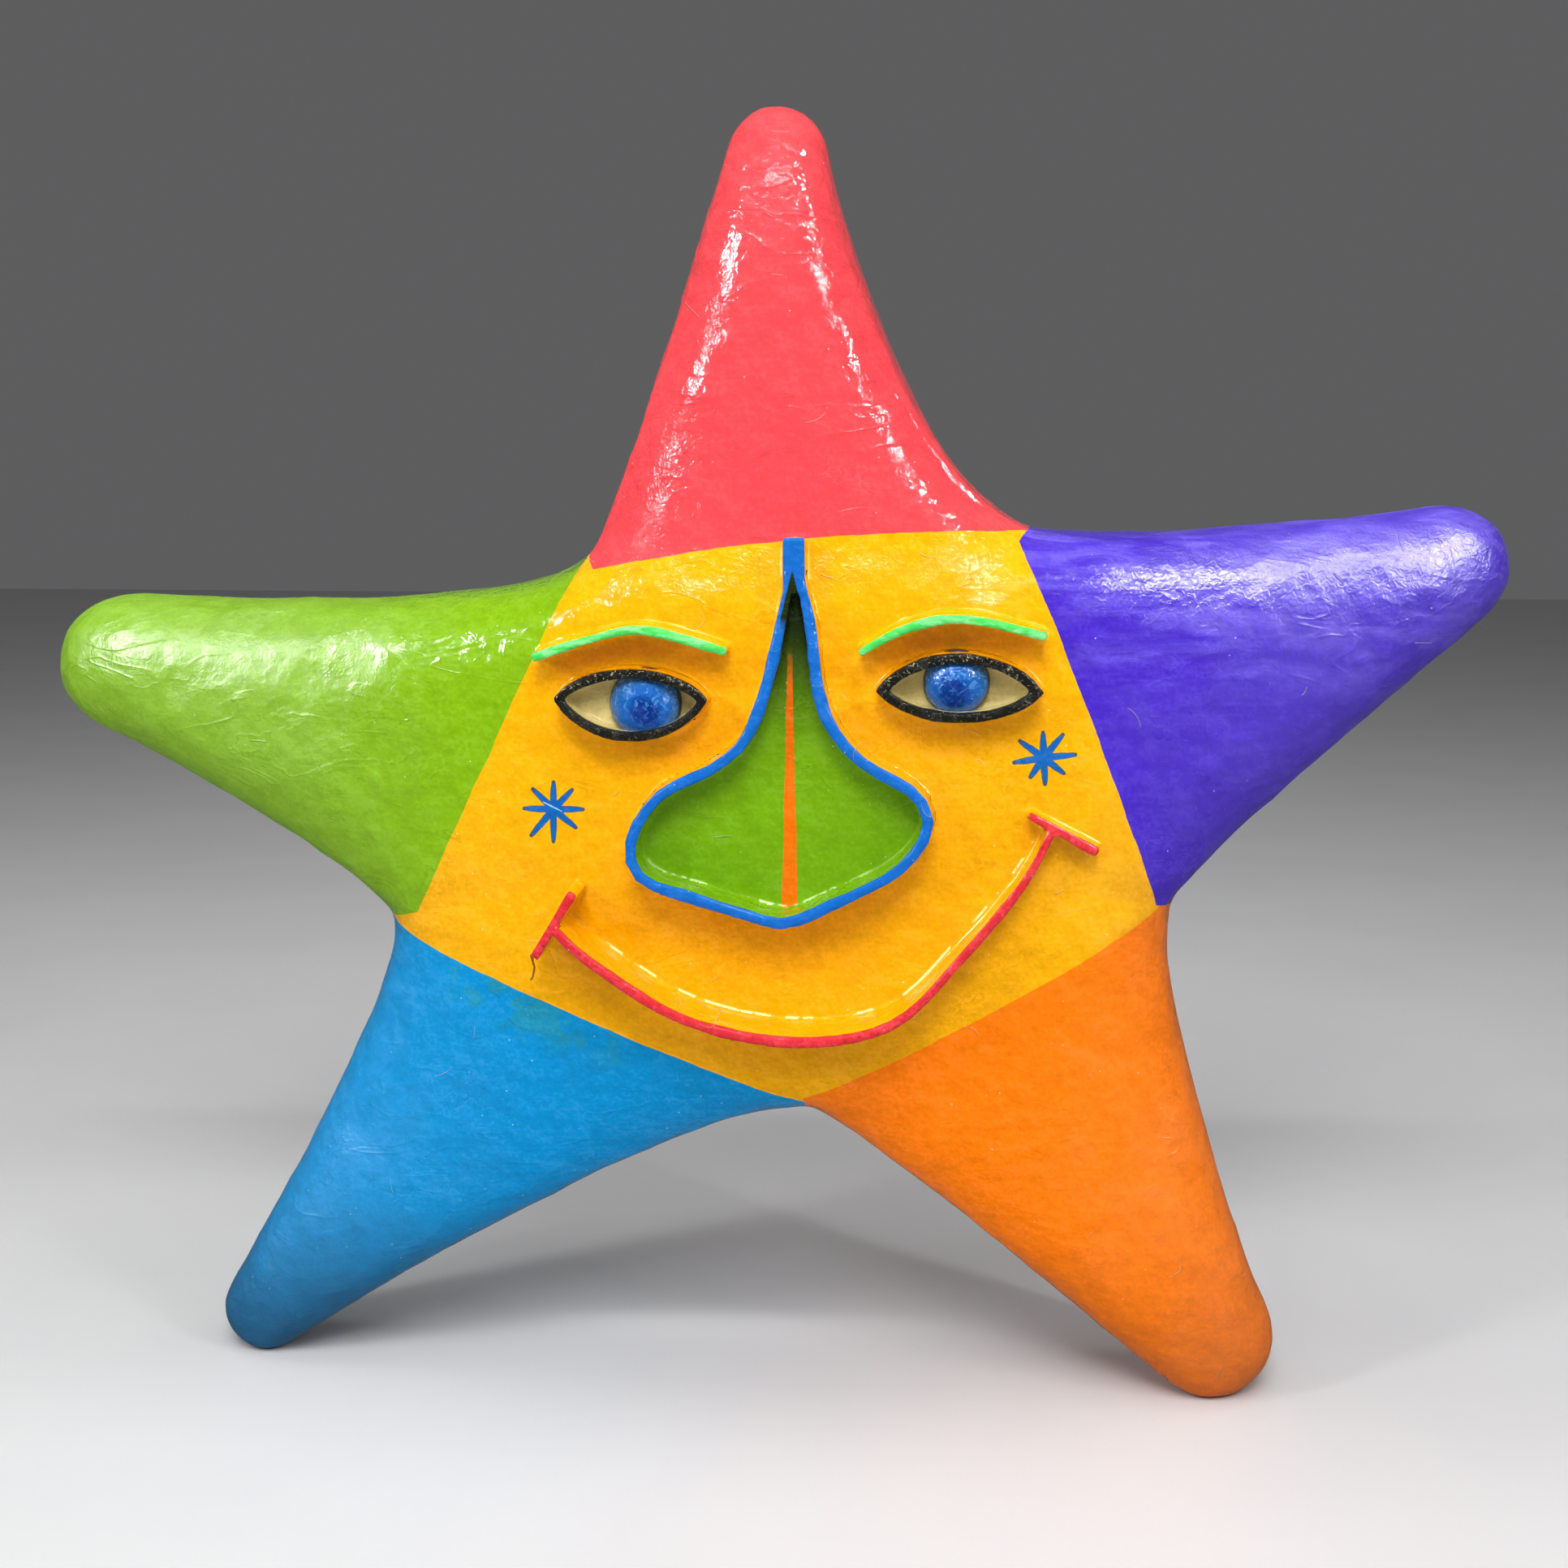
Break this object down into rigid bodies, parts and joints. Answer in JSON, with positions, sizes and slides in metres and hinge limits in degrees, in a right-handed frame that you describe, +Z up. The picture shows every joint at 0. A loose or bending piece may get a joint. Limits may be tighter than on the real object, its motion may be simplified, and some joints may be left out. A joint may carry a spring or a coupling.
{
  "type": "papier mache star ornament",
  "caption": "Padded papier mache star in bright varnished colours with a smiling face of card strips stood on edge; stands on its lower arms or hangs on a wall by a wire ring.",
  "frame": {"origin": "on the ground under the middle of the star's bounding box", "axes": "+Z up, the face looks along -Y, +X to the viewer's right when facing the star"},
  "size_m": [0.5286, 0.0982, 0.4696],
  "materials": {
    "red_paint": "glossy varnish",
    "green_paint": "glossy varnish",
    "blue_paint": "glossy varnish",
    "orange_paint": "glossy varnish",
    "violet_paint": "glossy varnish",
    "yellow_paint": "glossy varnish",
    "nose_blue": "glossy varnish",
    "nose_green": "glossy varnish",
    "brow_green": "satin paint",
    "eye_black": "flaky satin paint",
    "eye_cream": "satin paint",
    "iris_blue": "glossy varnish",
    "mouth_red": "satin paint",
    "newspaper": "matte",
    "board": "matte",
    "wire": "dull"
  },
  "bodies": {
    "root": {"core_board": "board", "red_front_wad": "newspaper", "red_back_wad": "newspaper", "red_arm_skin": "red_paint", "green_front_wad": "newspaper", "green_back_wad": "newspaper", "green_arm_skin": "green_paint", "blue_front_wad": "newspaper", "blue_back_wad": "newspaper", "blue_arm_skin": "blue_paint", "orange_front_wad": "newspaper", "orange_back_wad": "newspaper", "orange_arm_skin": "orange_paint", "violet_front_wad": "newspaper", "violet_back_wad": "newspaper", "violet_arm_skin": "violet_paint", "face_wad": "newspaper", "back_wad": "newspaper", "face_skin": "yellow_paint", "back_skin": "yellow_paint", "nose_wall": "nose_blue", "nose_floor": "nose_green", "left_brow": "brow_green", "right_brow": "brow_green", "left_eye_rim": "eye_black", "left_eye_white": "eye_cream", "left_eyeball": "iris_blue", "right_eye_rim": "eye_black", "right_eye_white": "eye_cream", "right_eyeball": "iris_blue", "mouth_strip": "mouth_red", "mouth_end_left": "mouth_red", "mouth_end_right": "mouth_red", "hanging_ring": "wire", "hanger_patch": "yellow_paint"}
  },
  "joints": []
}
